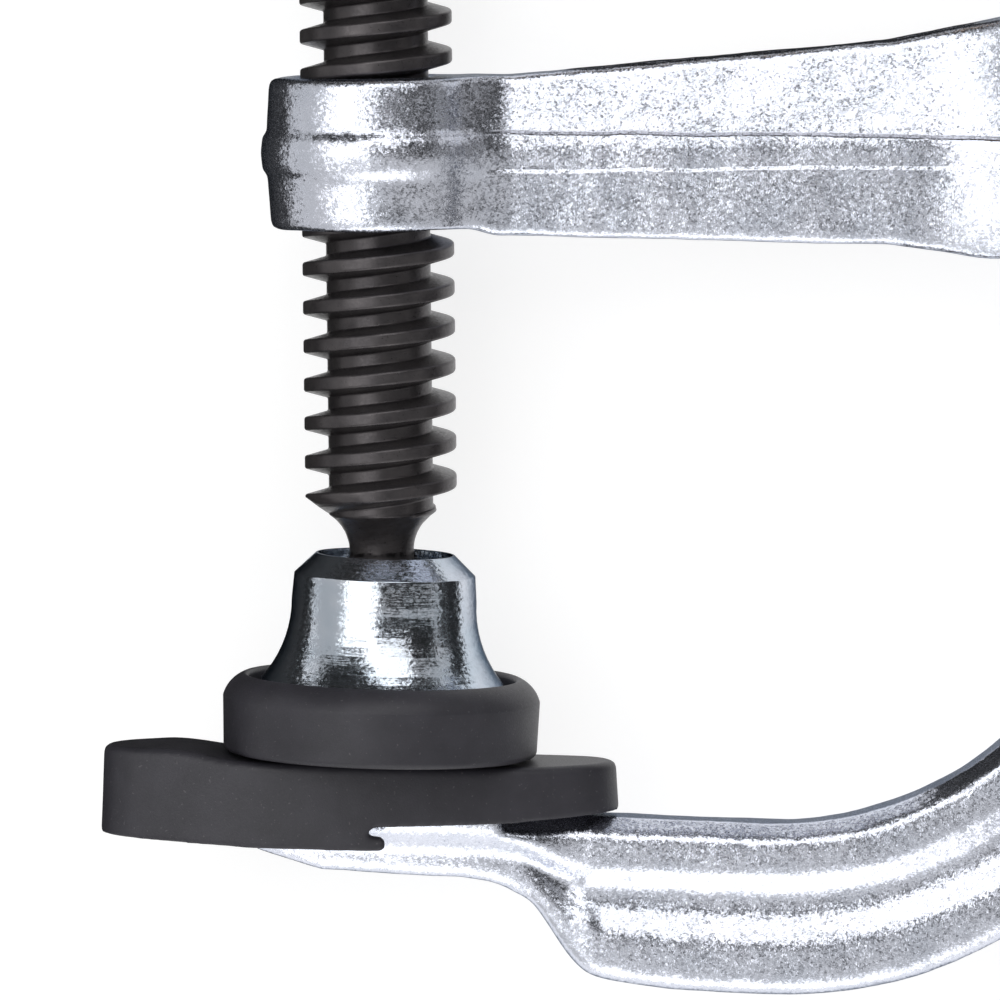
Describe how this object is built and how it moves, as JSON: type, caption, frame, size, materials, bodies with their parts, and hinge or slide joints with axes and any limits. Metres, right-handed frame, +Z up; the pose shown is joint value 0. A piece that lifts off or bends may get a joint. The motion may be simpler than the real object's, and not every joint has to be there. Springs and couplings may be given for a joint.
{
  "type": "screw clamp",
  "caption": "Small all-steel sliding-arm screw clamp with a forged rail and arm, a trapezoidal spindle, a tilting pressure plate, capped jaws and a turned wooden handle.",
  "frame": {"origin": "on the spindle's axis at the clamping face of the fixed jaw's cap", "axes": "+Y along the spindle and the rail, from the fixed jaw towards the handle; +X from the spindle towards the rail, nearly level; +Z up from the surface that the clamp lies on"},
  "size_m": [0.0999, 0.2037, 0.0252],
  "materials": {
    "forged_zinc": "zinc-plated blasted forging",
    "bright_zinc": "zinc-plated turned steel",
    "black_steel": "black-oxidised rolled thread",
    "black_plastic": "moulded matte",
    "wood": "turned and lacquered"
  },
  "bodies": {
    "rail": {"rail": "forged_zinc", "rail_stop_pin": "bright_zinc", "fixed_jaw_cap": "black_plastic"},
    "sliding_arm": {"sliding_arm": "forged_zinc"},
    "ball_ring": {"ball_ring": "black_steel"},
    "spindle": {"spindle": "black_steel", "handle": "wood", "handle_ferrule": "bright_zinc", "handle_pin": "bright_zinc"},
    "pressure_plate": {"pressure_plate": "bright_zinc", "pressure_plate_cap": "black_plastic"}
  },
  "joints": [
    {"name": "arm_slide", "type": "slide", "parent": "rail", "child": "sliding_arm", "axis": [0, 1, 0], "range_m": [0, 0.096]},
    {"name": "spindle_feed", "type": "slide", "parent": "sliding_arm", "child": "ball_ring", "axis": [0, 1, 0], "range_m": [0, 0.024]},
    {"name": "spindle_turn", "type": "hinge", "parent": "ball_ring", "child": "spindle", "pos_m": [0, 0.0085, 0], "axis": [0, 1, 0], "range_deg": [0, 2881]},
    {"name": "plate_tilt", "type": "hinge", "parent": "ball_ring", "child": "pressure_plate", "pos_m": [0, 0.0085, 0], "axis": [0.067, 0, 0.9978], "range_deg": [-0.8, 0.8]}
  ],
  "couplings": [
    {"joint": "spindle_turn", "follows": "spindle_feed", "rad_per_m": 2094.4}
  ]
}
